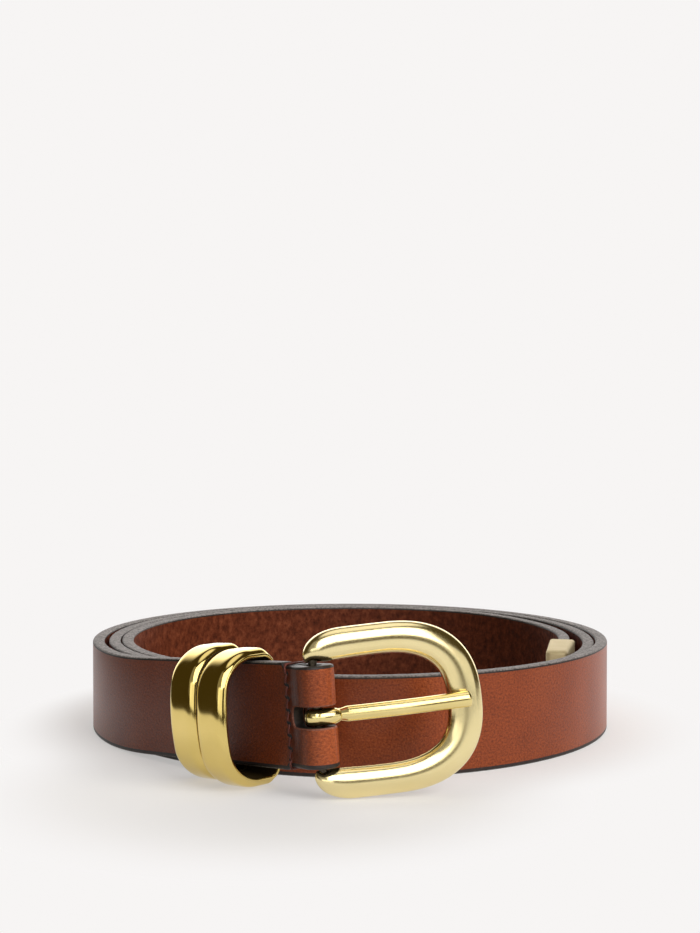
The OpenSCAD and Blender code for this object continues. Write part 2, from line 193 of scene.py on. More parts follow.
# place on the strap: along it and across it, in mm
def strapPlace(tree, stretch=(1, 1, 1)):
    place = addNode(tree, "UVMap", {}, uv_map="strapPlace").outputs["UV"]
    return addNode(tree, "Mapping", {"Vector": place, "Scale": stretch}).outputs["Vector"]


# place in the object's own axes, in mm
def objectPlace(tree, stretch=(1, 1, 1)):
    place = addNode(tree, "TexCoord", {}).outputs["Object"]
    scale = [s / mm for s in stretch]
    return addNode(tree, "Mapping", {"Vector": place, "Scale": scale}).outputs["Vector"]


def noiseAt(tree, place, scale, detail, rough):
    inputs = {"Vector": place, "Scale": scale, "Detail": detail, "Roughness": rough}
    return addNode(tree, "TexNoise", inputs).outputs["Fac"]


# stops are (place on the ramp, colour)
def rampOf(tree, value, stops):
    node = addNode(tree, "ValToRGB", {"Fac": value})
    ramp = node.color_ramp
    while len(ramp.elements) < len(stops):
        ramp.elements.new(0.5)
    for element, (at, colour) in zip(ramp.elements, stops):
        element.position = at
        element.color = (*colour, 1.0)
    return node.outputs["Color"]


def rangeOf(tree, value, low, high, fromLow=0.0, fromHigh=1.0, way="LINEAR"):
    inputs = {"Value": value, "From Min": fromLow, "From Max": fromHigh, "To Min": low, "To Max": high}
    return addNode(tree, "MapRange", inputs, interpolation_type=way).outputs["Result"]


def mixed(tree, amount, one, two, way="MIX"):
    inputs = {0: amount, 6: one, 7: two}
    return addNode(tree, "Mix", inputs, data_type="RGBA", blend_type=way).outputs[2]


def mathOf(tree, way, *values):
    return addNode(tree, "Math", dict(enumerate(values)), operation=way).outputs[0]


def times(tree, one, two):
    return mathOf(tree, "MULTIPLY", one, two)


def added(tree, one, two, share):
    return mathOf(tree, "MULTIPLY_ADD", two, share, one)


def vectorOf(tree, way, place, other):
    return addNode(tree, "VectorMath", {0: place, 1: other}, operation=way).outputs["Value"]


def bumped(tree, height, depth, strength):
    inputs = {"Height": height, "Distance": depth * mm, "Strength": strength}
    return addNode(tree, "Bump", inputs).outputs["Normal"]


def overlaid(tree, share, under, over):
    return addNode(tree, "MixShader", {0: share, 1: under, 2: over}).outputs[0]


# in a look, a noise is (scale, detail, roughness), shades are stops of a ramp, and rough may be a range
noiseSpan = (0.3, 0.7)   # where most of a noise lies

outerLook = {
    "cloud": (0.06, 4.0, 0.5), "fleck": (1.8, 4.0, 0.85), "pores": (3.2, 3.0, 0.65), "cells": 1.9,
    "shades": [(0.30, (0.235, 0.044, 0.0100)), (0.50, (0.280, 0.054, 0.0126)),
               (0.70, (0.320, 0.066, 0.0165))],
    "tints": [(0.36, (0.52, 0.48, 0.44)), (0.64, (1.46, 1.50, 1.54))],
    "rough": (0.34, 0.50), "shine": 0.20, "coat": 0.32, "coatRough": 0.28, "depth": 0.11, "bump": 0.6,
    "wrinkle": (1.5, 3.0, 0.6), "wrinkleStretch": (1.0, 0.12, 1.0), "wrinkleDepth": 0.40,
    "wrinkleFrom": 5.0, "wrinkleTo": 10.5, "wrinkleFade": 1.0, "foldFrom": -12.0, "foldTo": 18.0,
}
# painted light and shade by the distance from the crown of the fold: a painted highlight round it, and
# painted shade with a grey-purple painted sheen in the valley beside the seam
foldLightAndShade = [(-12.0, (1.0, 1.0, 1.0)), (-6.0, (1.22, 1.26, 1.2)), (4.6, (1.22, 1.26, 1.2)),
             (6.4, (0.62, 0.66, 0.85)), (9.6, (0.62, 0.64, 0.75)), (12.5, (1.0, 1.0, 1.0))]


def outerLeather():
    look = outerLook
    finish, tree, shader = newFinish("outer_leather")
    place = strapPlace(tree)
    shade = rampOf(tree, noiseAt(tree, place, *look["cloud"]), look["shades"])
    fleck = noiseAt(tree, place, *look["fleck"])
    grained = mixed(tree, 1.0, shade, rampOf(tree, fleck, look["tints"]), "MULTIPLY")
    along = addNode(tree, "SeparateXYZ", {"Vector": place}).outputs["X"]
    first = look["foldFrom"]
    last = look["foldTo"]
    fold = rangeOf(tree, along, 0.0, 1.0, first, last)
    # the painted highlight and shade round the fold, multiplied into the leather's colour
    foldShading = rampOf(tree, fold, [((at - first) / (last - first), tone) for at, tone in foldLightAndShade])
    inputs = {"Vector": place, "Scale": look["cells"]}
    cells = addNode(tree, "TexVoronoi", inputs, feature="SMOOTH_F1").outputs["Distance"]
    grain = added(tree, cells, noiseAt(tree, place, *look["pores"]), 1.0)
    fade = look["wrinkleFade"]
    enter = rangeOf(tree, along, 0.0, 1.0, look["wrinkleFrom"], look["wrinkleFrom"] + fade)
    leave = rangeOf(tree, along, 1.0, 0.0, look["wrinkleTo"] - fade, look["wrinkleTo"])
    wrinkles = noiseAt(tree, strapPlace(tree, look["wrinkleStretch"]), *look["wrinkle"])
    pressed = times(tree, times(tree, enter, leave), wrinkles)
    height = added(tree, grain, pressed, look["wrinkleDepth"] / look["depth"])
    feed(tree, shader, {
        "Base Color": mixed(tree, 1.0, grained, foldShading, "MULTIPLY"),
        "Roughness": rangeOf(tree, fleck, *look["rough"], *noiseSpan),
        "Specular IOR Level": look["shine"],
        "Coat Weight": look["coat"],
        "Coat Roughness": look["coatRough"],
        "Normal": bumped(tree, height, look["depth"], look["bump"]),
    })
    return finish


liningLook = {
    "creases": (0.75, 5.0, 0.72), "creaseStretch": (1.0, 0.65, 1.0), "mottle": (0.34, 5.0, 0.65),
    "mottleShare": 0.9, "blendSpan": (0.66, 1.24), "pores": (2.4, 3.0, 0.6), "poreShare": 0.5,
    "shades": [(0.05, (0.045, 0.0090, 0.0032)), (0.5, (0.125, 0.0270, 0.0096)),
               (0.98, (0.240, 0.0620, 0.0250))],
    "rough": (0.75, 0.55), "shine": 0.12, "depth": 0.16, "bump": 0.6,
}


def liningLeather():
    look = liningLook
    finish, tree, shader = newFinish("lining_leather")
    place = strapPlace(tree)
    creases = noiseAt(tree, strapPlace(tree, look["creaseStretch"]), *look["creases"])
    blend = added(tree, creases, noiseAt(tree, place, *look["mottle"]), look["mottleShare"])
    spread = rangeOf(tree, blend, 0.0, 1.0, *look["blendSpan"])
    grain = added(tree, creases, noiseAt(tree, place, *look["pores"]), look["poreShare"])
    feed(tree, shader, {
        "Base Color": rampOf(tree, spread, look["shades"]),
        "Roughness": rangeOf(tree, spread, *look["rough"]),
        "Specular IOR Level": look["shine"],
        "Normal": bumped(tree, grain, look["depth"], look["bump"]),
    })
    return finish


# looks with one noise; the edge paint is dark with pale grey speckles, partly a painted sheen, and dark
# where it laps over the face
plainLooks = {
    # dark edge paint whose pale speckles are partly a painted sheen
    "edge_paint_and_sheen": {
        "noise": (1.5, 5.0, 0.72), "rough": (0.60, 0.75), "shine": 0.30, "depth": 0.14, "bump": 0.6,
        "shades": [(0.36, (0.040, 0.034, 0.032)), (0.66, (0.350, 0.315, 0.298))]},
    # dark paint where it laps over the face; the same dark is painted shade on the walls of cuts and on the
    # edges near the fold
    "dark_paint_and_shade": {
        "noise": (1.5, 5.0, 0.72), "rough": (0.42, 0.57), "shine": 0.45, "depth": 0.05, "bump": 0.6,
        "shades": [(0.35, (0.010, 0.006, 0.005)), (0.72, (0.040, 0.026, 0.022))]},
    # a lighter raw rim round the cuts, partly a painted highlight on its rounding
    "cut_leather_and_highlight": {
        "noise": (2.2, 4.0, 0.7), "rough": 0.7, "shine": 0.1, "depth": 0.06, "bump": 0.5,
        "shades": [(0.3, (0.150, 0.048, 0.030)), (0.65, (0.420, 0.170, 0.120))], "place": strapPlace},
    "sewing_thread": {
        "noise": (5.0, 3.0, 0.6), "rough": 0.55, "depth": 0.03, "bump": 0.7,
        "shades": [(0.3, (0.050, 0.010, 0.006)), (0.7, (0.230, 0.046, 0.026))]},
    # near-black beads at the needle holes: painted shade
    "needle_hole_shade": {
        "noise": (3.0, 3.0, 0.6), "rough": 0.9,
        "shades": [(0.3, (0.004, 0.002, 0.002)), (0.7, (0.012, 0.006, 0.005))]},
    # dark steel for the bar and the screw: darkened as painted shade, so the bar shows as a dark gap
    "shaded_steel": {
        "noise": (1.5, 4.0, 0.6), "rough": 0.40, "depth": 0.01, "bump": 0.5, "metal": 1.0,
        "shades": [(0.3, (0.045, 0.036, 0.026)), (0.7, (0.105, 0.088, 0.064))]},
}


def plainFinish(name):
    look = plainLooks[name]
    finish, tree, shader = newFinish(name)
    place = look.get("place", objectPlace)
    speckle = noiseAt(tree, place(tree), *look["noise"])
    rough = look["rough"]
    if isinstance(rough, tuple):
        rough = rangeOf(tree, speckle, *rough, *noiseSpan)
    feed(tree, shader, {
        "Base Color": rampOf(tree, speckle, look["shades"]),
        "Roughness": rough,
        "Specular IOR Level": look.get("shine", 0.5),
        "Metallic": look.get("metal", 0.0),
    })
    if "depth" in look:
        feed(tree, shader, {"Normal": bumped(tree, speckle, look["depth"], look["bump"])})
    return finish


# the gold metals: tints, how rough, and how the polishing marks lie and how deep they are
goldLooks = {
    "satin_gold": {
        "tints": [(0.85, 0.715, 0.360), (0.90, 0.770, 0.420)], "rough": (0.16, 0.24),
        "place": strapPlace, "stretch": (3.2, 0.22, 1.0), "depth": 0.0035},
    "mirror_gold": {
        "tints": [(0.70, 0.535, 0.170), (0.76, 0.585, 0.205)], "rough": (0.085, 0.115),
        "stretch": (1.2, 1.2, 1.2), "depth": 0.002},
    "tongue_gold": {
        "tints": [(0.80, 0.650, 0.270), (0.86, 0.710, 0.320)], "rough": (0.15, 0.21),
        "stretch": (1.0, 1.0, 1.0), "depth": 0.003},
    "pale_gold": {
        "tints": [(0.62, 0.525, 0.320), (0.68, 0.580, 0.365)], "rough": (0.67, 0.77),
        "stretch": (0.6, 0.6, 3.0), "depth": 0.006},
    # near-black gold for the inside of the bands: painted shade
    "band_inside_shade": {
        "tints": [(0.050, 0.032, 0.012), (0.095, 0.062, 0.022)], "rough": (0.54, 0.70),
        "stretch": (1.2, 1.2, 1.2), "depth": 0.012},
}
polish = {"marks": (1.0, 4.0, 0.65), "cloud": (0.08, 3.0, 0.5), "bump": 0.4}


def goldMetal(name):
    look = goldLooks[name]
    finish, tree, shader = newFinish(name)
    place = look.get("place", objectPlace)
    marks = noiseAt(tree, place(tree, look["stretch"]), *polish["marks"])
    cloud = noiseAt(tree, objectPlace(tree), *polish["cloud"])
    feed(tree, shader, {
        "Base Color": rampOf(tree, cloud, list(zip(noiseSpan, look["tints"]))),
        "Roughness": rangeOf(tree, marks, *look["rough"], *noiseSpan),
        "Metallic": 1.0,
        "Normal": bumped(tree, marks, look["depth"], polish["bump"]),
    })
    return finish


leatherFinish = outerLeather()
liningFinish = liningLeather()
edgeFinishes = [plainFinish("edge_paint_and_sheen"), plainFinish("dark_paint_and_shade"), plainFinish("cut_leather_and_highlight")]
threadFinish = plainFinish("sewing_thread")
holeShadeFinish = plainFinish("needle_hole_shade")
satinGold = goldMetal("satin_gold")
mirrorGold = goldMetal("mirror_gold")
tongueGold = goldMetal("tongue_gold")
paleGold = goldMetal("pale_gold")
bandShade = goldMetal("band_inside_shade")
shadedSteelFinish = plainFinish("shaded_steel")
print("belt: finishes ready")


# path of the strap, from the folded end, round the coil, to the tip; the buckle, the seam and the tip set
# how its ends lie, so their sizes stand here too

strap = {
    "width": 25.0, "outer": 1.8, "lining": 1.5, "edgeRound": 0.55, "paintLap": 0.1, "footShadeLap": 0.5,
    "coilRadius": 74.6, "gap": 0.35, "sweep": 946.0, "stepFrom": 305.0, "stepTo": 358.0,
    "slack": 1.0, "slackAt": 405.0, "slackSpan": 50.0, "tailSlack": 2.85, "tailSpan": 40.0,
    "tailWidth": 23.0, "taperSpan": 60.0, "coilStep": 1.25, "trim": 1.4, "trimAt": 640.0, "trimSpan": 95.0,
    "crease": 60,
}
lead = {
    "length": 61.0, "ease": 25.0, "edgeCut": 0.8, "skive": 0.86, "pinch": 5.9, "back": 4.0,
    "shoulder": 1.0, "foldClear": 0.1, "legGap": 0.1, "seamBack": 0.4,
}
buckle = {
    "barRadius": 1.0, "armWidth": 7.2, "farWidth": 8.2, "window": 30.5, "armLength": 15.5,
    "noseRound": 9.0, "noseLength": 3.6, "noseLean": 1.0, "noseWall": 0.25, "nosePower": 2.4,
    "noseRest": 0.5, "noseLip": 0.5, "front": 2.7, "rear": 2.3, "cornerPower": 2.55, "tilt": 2.3,
    "open": 52.0, "chapePlay": 0.65, "windowPlay": 0.1, "floorClear": 0.1, "around": 96, "firstRing": 4,
}
seam = {"thread": 0.7, "count": 7, "touch": 0.02}
tip = {
    "length": 24.0, "bare": 6.0, "mouth": 7.2, "end": 5.9, "rim": 0.7, "endWall": 1.2,
    "corner": 1.6, "fit": 0.1, "bevel": 0.99, "endBevel": 2.6, "cutAhead": 2.0, "crease": 35,
}

strapThick = strap["outer"] + strap["lining"]
strapHalf = strap["width"] / 2
chapeHalf = strapHalf - lead["edgeCut"]
barGap = chapeHalf + buckle["chapePlay"]
barLift = barGap + buckle["armWidth"] - buckle["noseRest"] + buckle["floorClear"] - strapHalf
leadSlope = barLift / (lead["length"] + lead["ease"] / 2)
leadRise = math.atan(leadSlope)
leadOrigin = np.array([0, -strap["coilRadius"], strapHalf + leadSlope * lead["ease"] / 2])
leadAlong = np.array([math.cos(leadRise), 0, math.sin(leadRise)])
leadUp = np.array([-math.sin(leadRise), 0, math.cos(leadRise)])
leadOut = np.array([0, -1.0, 0])
foldN = -strapThick - lead["legGap"] / 2
foldInner = buckle["barRadius"] + lead["foldClear"] + chapeHalf * sind(buckle["tilt"])
foldBond = foldInner + lead["skive"] * strap["lining"]
foldShift = foldN + foldBond + strap["outer"]
pinchS = lead["length"] - lead["pinch"]
stitchS = pinchS - lead["seamBack"]
shoulderS = stitchS - seam["thread"] - lead["shoulder"]
tipHigh = strap["tailWidth"] + 2 * tip["rim"]
tailLift = tipHigh / 2 + buckle["floorClear"] - strapHalf
tailLength = tip["length"] + tip["bare"]
strapEnd = tailLength - tip["endWall"] - tip["fit"]


def turnGap(a):
    leave = max(0.0, (a - strap["sweep"] + strap["tailSpan"]) / strap["tailSpan"])
    beside = strap["slack"] * swell((a - strap["slackAt"]) / strap["slackSpan"])
    return strap["gap"] + beside + strap["tailSlack"] * leave ** 3


def faceRadius(a):
    if a < 360:
        share = smooth((a - strap["stepFrom"]) / (strap["stepTo"] - strap["stepFrom"]))
        return strap["coilRadius"] - (strapThick + turnGap(360)) * share
    return faceRadius(a - 360) - strapThick - turnGap(a)


def taper(a):
    return smooth((a - strap["sweep"] + strap["taperSpan"]) / strap["taperSpan"])


# a station is the middle of the bond line, the outward normal, the cross direction,
# half the width and the share of the thickness
def coilStation(a):
    r = faceRadius(a) - strap["outer"]
    dr = math.degrees(faceRadius(a + 0.5) - faceRadius(a - 0.5))   # over one degree, per radian
    radial = np.array([-sind(a), -cosd(a), 0])
    along = np.array([-cosd(a), sind(a), 0])
    arc = math.radians(a) * strap["coilRadius"]
    left = max(0.0, lead["ease"] - arc)
    pitch = math.atan(leadSlope * left / lead["ease"])
    lift = leadSlope * left ** 2 / (2 * lead["ease"]) + tailLift * taper(a)
    travel = unit(r * along + dr * radial)
    middle = r * radial + np.array([0, 0, strapHalf + lift])
    across = math.cos(pitch) * np.array([0, 0, 1.0]) + math.sin(pitch) * travel
    trim = strap["trim"] / 2 * swell((a - strap["trimAt"]) / strap["trimSpan"])   # a little lower here
    half = strapHalf + (strap["tailWidth"] / 2 - strapHalf) * taper(a) - trim
    middle[2] -= trim
    return middle, unit(r * radial - dr * along), across, half, 1.0


def endStation(s, n, facing, half, keep):
    middle = leadOrigin + s * leadAlong + n * leadOut
    return middle, unit(facing[0] * leadAlong + facing[1] * leadOut), leadUp, half, keep


def leadStation(s):
    half = strapHalf - lead["edgeCut"] * smooth((s - shoulderS) / lead["shoulder"])
    return endStation(s, -strap["outer"], (0, 1), half, 1.0)


# from the pinch to the top of the roll, in front (side 1) or behind (side -1)
def pinchStation(x, side):
    n = foldShift * smooth(x) - strap["outer"] - foldN
    slope = foldShift * 6 * x * (1 - x) / lead["pinch"]   # by the slope of smooth
    keep = 1 - (1 - lead["skive"]) * smooth(x)
    return endStation(pinchS + x * lead["pinch"], foldN + side * n, (-slope, side), chapeHalf, keep)


def rollStation(phi):
    return endStation(lead["length"] + foldBond * cosd(phi), foldN + foldBond * sind(phi),
                      (cosd(phi), sind(phi)), chapeHalf, lead["skive"])


tailRoot = coilStation(strap["sweep"])
tailOut = tailRoot[1]
tailAlong = np.array([tailOut[1], -tailOut[0], 0])


def tailStation(x):
    return tailRoot[0] + x * tailAlong, tailOut, tailRoot[2], strap["tailWidth"] / 2, 1.0


# strap: two leathers bonded together, with the tongue slot and the prong holes cut through both

slot = {"high": 4.8, "ahead": 1.5, "eyeRadius": 3.0, "endRound": 2.0, "power": 2.6}
holes = {"count": 3, "radius": 2.0, "pitch": 23.0, "first": 94.0, "reach": 3.0}
strapRows = {"back": 4, "pinch": 40, "roll": 40, "shoulder": 12, "lead": 40, "hole": 40, "tail": 12}
rimRound = 0.36   # rounding along a cut
rimSteps = [0.0, 0.06, 0.16, 0.36, 0.55, 0.9]     # columns beside a cut, by their distance from it
faceShares = [0.16, 0.34, 0.52, 0.7, 0.86, 1.0]   # columns between a cut and the painted edge
edgeSteps = 6     # columns round the painted edge
# the bare rim of a cut is lighter, partly a painted highlight
rimColumns = 4    # columns of a cut that show bare leather
lineColumns = 3   # columns of the painted edge that lap over the face
# near the crown of the fold the edges take the dark paint as painted shade from the frame
foldShadeReach = 13.0  # the edges are dark this near to the crown of the fold


def holeAngle(i):
    run = holes["first"] + i * holes["pitch"] - tailLength
    radius = faceRadius(strap["sweep"] - 90) - strapThick / 2   # a quarter turn before the end
    return strap["sweep"] - math.degrees(run / radius)


# stations along the whole strap, closer together where something is cut
def strapStations():
    slotX = (lead["length"] - slot["eyeRadius"] - slot["ahead"] - pinchS) / lead["pinch"]
    near = [slotX + sign * d / lead["pinch"] for d in rimSteps for sign in (-1, 1)]
    pinchXs = sorted(set(steps(0, 1, strapRows["pinch"])) | {x for x in near if x > 0})
    rows = [endStation(s, 2 * foldN + strap["outer"], (0, -1), chapeHalf, 1.0)
            for s in steps(pinchS - lead["back"], pinchS, strapRows["back"])[:-1]]
    marks = {"slotStart": len(rows) + pinchXs.index(slotX)}
    rows += [pinchStation(x, -1) for x in pinchXs]
    rows += [rollStation(phi) for phi in between(-90, 90, strapRows["roll"])]
    marks["slotEnd"] = len(rows) + pinchXs[::-1].index(slotX)
    marks["crown"] = len(rows) - strapRows["roll"] // 2
    rows += [pinchStation(x, 1) for x in reversed(pinchXs)]
    rows += [leadStation(s) for s in steps(pinchS, shoulderS, strapRows["shoulder"])[1:]]
    rows += [leadStation(s) for s in between(shoulderS, 0, strapRows["lead"])]
    turns = set(steps(0, strap["sweep"], int(strap["sweep"] / strap["coilStep"])))
    besideHole = [sign * (holes["radius"] + r) for r in rimSteps for sign in (-1, 1)]
    besideHole += steps(-holes["reach"], holes["reach"], strapRows["hole"])
    for i in range(holes["count"]):
        at = holeAngle(i)
        turns |= {at + math.degrees(d / faceRadius(at)) for d in besideHole}
    turns = sorted(turns)
    for i in range(holes["count"]):
        marks[i] = len(rows) + min(range(len(turns)), key=lambda k: abs(turns[k] - holeAngle(i)))
    rows += [coilStation(a) for a in turns]
    rows += [tailStation(x) for x in steps(0, strapEnd, strapRows["tail"])[1:]]
    return rows, marks


# half the height of a cut at t along the strap, grown all round by a margin
def cutHalf(cut, t, margin):
    inside = min(t - cut["start"], cut["end"] - t) + margin
    if inside <= 0:
        return 0.0
    x = min(1.0, inside / (cut["round"] + margin))
    return (cut["half"] + margin) * (1 - (1 - x) ** cut["power"]) ** (1 / cut["power"])


def rimDrop(distance):
    near = max(0.0, rimRound - max(0.0, distance))
    return rimRound - math.sqrt(rimRound ** 2 - near ** 2)


# half of the strap's section at one station, as (depth below the face, distance across)
def halfSection(t, half, thick, cuts, lap):
    cut = min(cuts, key=lambda c: max(c["start"] - t, t - c["end"]))
    beside = max(cut["start"] - t, t - cut["end"])
    section = [(thick, cutHalf(cut, t, 0.0))]
    for d in rimSteps:
        across = cutHalf(cut, t, d)
        section.append((rimDrop(d if across > 0 else beside), across))
    inner = section[-1][1]
    r = strap["edgeRound"]
    outer = half - r - lap
    section += [(0.0, inner + (outer - inner) * share) for share in faceShares]
    section += [(r * (1 - cosd(k)), half - r * (1 - sind(k))) for k in steps(0, 90, edgeSteps)]
    section.append((thick, half))
    return section


# finish of one column of faces: 0 leather, 1 edge paint with its painted sheen, 2 dark paint where it laps
# over the face, also painted shade on the wall of a cut and on the edges near the fold, 3 bare rim of a
# cut, lighter, partly a painted highlight
def columnFinish(j, count, t):
    paintFrom = len(rimSteps) + len(faceShares)
    # the wall of a cut is dark: painted shade inside the slot and the holes
    if j == 0:
        return 2
    if j < rimColumns:
        return 3
    if j < paintFrom or j == count - 1:
        return 0
    # near the fold the edges are dark: painted shade
    return 2 if j < paintFrom + lineColumns or t < foldShadeReach else 1


def strapLayer(name, thick, side, faceLeather):
    rows, marks = strapStations()
    travel = travelOf([row[0] for row in rows])
    travel -= travel[marks["crown"]]
    cuts = [{"start": travel[marks["slotStart"]], "end": travel[marks["slotEnd"]],
             "half": slot["high"] / 2, "round": slot["endRound"], "power": slot["power"]}]
    for i in range(holes["count"]):
        at = travel[marks[i]]
        cuts.append({"start": at - holes["radius"], "end": at + holes["radius"],
                     "half": holes["radius"], "round": holes["radius"], "power": 2.0})
    points, uvs, faces, faceFinish = [], [], [], []
    for turn in (-1, 1):
        base = len(points)
        opened = []
        # the lap along the lower edge is wider: dark paint there, partly painted shade under the edge
        lap = strap["paintLap"] if turn > 0 else strap["footShadeLap"]
        for t, (middle, normal, across, half, keep) in zip(travel, rows):
            section = halfSection(t, half, thick * keep, cuts, lap)
            opened.append(section[0][1] > 0)
            for depth, b in section:
                points.append(middle + side * (thick * keep - depth) * normal + turn * b * across)
                uvs.append((t, turn * b + (depth if b > half / 2 else 0)))
        count = len(section)
        for i in range(len(rows) - 1):
            for j in range(count):
                k = (j + 1) % count
                if j == 0 and not (opened[i] or opened[i + 1]):
                    continue
                here = base + i * count
                there = here + count
                faces.append((here + j, here + k, there + k, there + j))
                faceFinish.append(columnFinish(j, count, travel[i]))
        for first in (base, base + (len(rows) - 1) * count):
            faces.append(tuple(range(first, first + count)))
            faceFinish.append(0)
    return makePiece(name, points, faces, [faceLeather, *edgeFinishes], faceFinish, uvs, strap["crease"])


seat(strapLayer("belt_leather", strap["outer"], 1, leatherFinish), "strap", "leather", "strap_outer")
seat(strapLayer("belt_lining", strap["lining"], -1, liningFinish), "strap", "lining", "strap_lining")


# places on the straight end: s along it, n outward from its face, b up across it
def onLead(s, n, b):
    return leadOrigin + s * leadAlong + n * leadOut + b * leadUp


# seam of the fold: two-ply stitches on both sides and a loop over each edge

stitch = {
    "ply": 0.15, "twist": 0.12, "turns": 1.9, "turnLength": 2.2, "bow": 0.10, "slant": 0.30, "sides": 6,
    "along": 14, "short": 0.3, "lift": 0.14, "dive": 0.5, "divePower": 8,
    "hole": 0.62, "holeFlat": 0.09, "holeNarrow": 0.8, "holeAround": 12, "holeRings": 5,
    "loop": 1.6, "loopBend": 0.8, "loopEnd": [(0.6, 2.1), (0.1, 1.7)],
}
threadSide = leadAlong + 0.3 * leadOut   # a direction that no thread runs along


# two directions square to a thread
def squareTo(way):
    flat = unit(np.cross(way, threadSide))
    return flat, np.cross(way, flat)


# tube round a line of points
def tubeAlong(line, radius, sides, points, faces):
    base = len(points)
    for at, way in zip(line, np.gradient(np.array(line), axis=0)):
        flat, other = squareTo(unit(way))
        points += [at + radius * (cosd(angle) * flat + sind(angle) * other) for angle in fullTurn(sides)]
    faces += tubeFaces(len(line), sides, base)


def twistedThread(line, points, faces, size=1.0):
    wholeTwist = 360 * stitch["turns"] * travelOf(line)[-1] / stitch["turnLength"]
    for ply in (0, 180):
        wound = []
        for i, (at, way) in enumerate(zip(line, np.gradient(np.array(line), axis=0))):
            flat, other = squareTo(unit(way))
            angle = ply + wholeTwist * i / (len(line) - 1)
            wound.append(at + size * stitch["twist"] * (cosd(angle) * flat + sind(angle) * other))
        tubeAlong(wound, size * stitch["ply"], stitch["sides"], points, faces)


# a flat near-black bead where the needle went through: painted shade standing for the hole
def needleHoleShade(s, n, b, side, points, faces):
    base = len(points)
    rings, around = stitch["holeRings"], stitch["holeAround"]
    for i in range(rings):
        flat = stitch["hole"] * cosd(90 * i / rings)
        lift = side * stitch["holeFlat"] * sind(90 * i / rings)
        thin = stitch["holeNarrow"] * flat
        points += [onLead(s + thin * cosd(turn), n + lift, b + flat * sind(turn))
                   for turn in fullTurn(around)]
    faces += tubeFaces(rings, around, base)


def makeSeam():
    points, faces = [], []
    pitch = 2 * chapeHalf / (seam["count"] + 1)
    reach = pitch / 2 - stitch["short"]
    stitches = [(side, face, (i - (seam["count"] - 1) / 2) * pitch)
                for side, face in ((1, 0.0), (-1, 2 * foldN)) for i in range(seam["count"])]
    for side, face, middle in stitches:
        line = []
        for x in steps(-1, 1, stitch["along"]):
            dive = stitch["dive"] * abs(x) ** stitch["divePower"]
            lift = stitch["lift"] + stitch["bow"] * (1 - x * x) - dive
            line.append(onLead(stitchS + stitch["slant"] * x, face + side * lift, middle + reach * x))
        twistedThread(line, points, faces)
    front = seam["thread"] / 2 + seam["touch"]
    edge = chapeHalf + front
    low = 2 * foldN - front
    bend = stitch["loopBend"]
    path = [(front - n, edge - b) for n, b in stitch["loopEnd"]] + [(front, edge - bend)]
    path += [(front - bend * (1 - cosd(k)), edge - bend * (1 - sind(k))) for k in steps(15, 90, 5)]
    path += [(low + bend * (1 - sind(k)), edge - bend * (1 - cosd(k))) for k in steps(0, 75, 5)]
    path += [(low, edge - bend)] + [(low + n, edge - b) for n, b in reversed(stitch["loopEnd"])]
    for side in (-1, 1):
        twistedThread([onLead(stitchS, n, side * b) for n, b in path], points, faces, stitch["loop"])
    threadFaces = len(faces)
    for side, face, middle in stitches:
        for x in (-1, 1):
            needleHoleShade(stitchS + stitch["slant"] * x, face, middle + reach * x, side, points, faces)
    faceFinish = [0] * threadFaces + [1] * (len(faces) - threadFaces)
    return makePiece("chape_thread", points, faces, [threadFinish, holeShadeFinish], faceFinish)


seat(makeSeam(), "strap", "thread", "chape_stitching")


# buckle: a domed horseshoe that stands open from the straight end

windowHalf = strapHalf + buckle["windowPlay"]
armMid = windowHalf + buckle["armWidth"] / 2
farMid = buckle["window"] + buckle["farWidth"] / 2
noseP = -buckle["barRadius"] - buckle["noseWall"]


# the buckle's own axes: away from the bar, to the back, and up along the bar
def buckleAxes(raised):
    place = Matrix.Translation(leadOrigin) @ Matrix.Rotation(-leadRise, 4, "Y")
    place = place @ Matrix.Translation((lead["length"], -foldN, 0))
    place = place @ Matrix.Rotation(math.radians(buckle["open"]), 4, "Z")
    place = place @ Matrix.Rotation(math.radians(-buckle["tilt"]), 4, "Y")
    return np.array(place @ Matrix.Translation((0, 0, raised)))


def placed(points, axes):
    return np.asarray(points, float) @ axes[:3, :3].T + axes[:3, 3]


def noseKeep(p, length):
    left = 1 - min(1.0, (p - noseP) / length)
    return (1 - left ** buckle["nosePower"]) ** (1 / buckle["nosePower"])


# share of the flare that an arm has at p, from none where it is straight to all at its nose
def armFlare(p):
    return (max(0.0, buckle["armLength"] - p) / (buckle["armLength"] - noseP)) ** 2


def armLine(p):
    flare = (windowHalf - barGap + buckle["noseLip"] / 2) * armFlare(p)
    lean = buckle["noseLean"] * (1 - noseKeep(p, buckle["noseRound"])) * buckle["armWidth"] / 2
    return armMid - flare - lean


def farLine(t):
    power = 2 / buckle["cornerPower"]
    p = buckle["armLength"] + (farMid - buckle["armLength"]) * abs(cosd(t)) ** power
    return p, armMid * math.copysign(abs(sind(t)) ** power, sind(t))


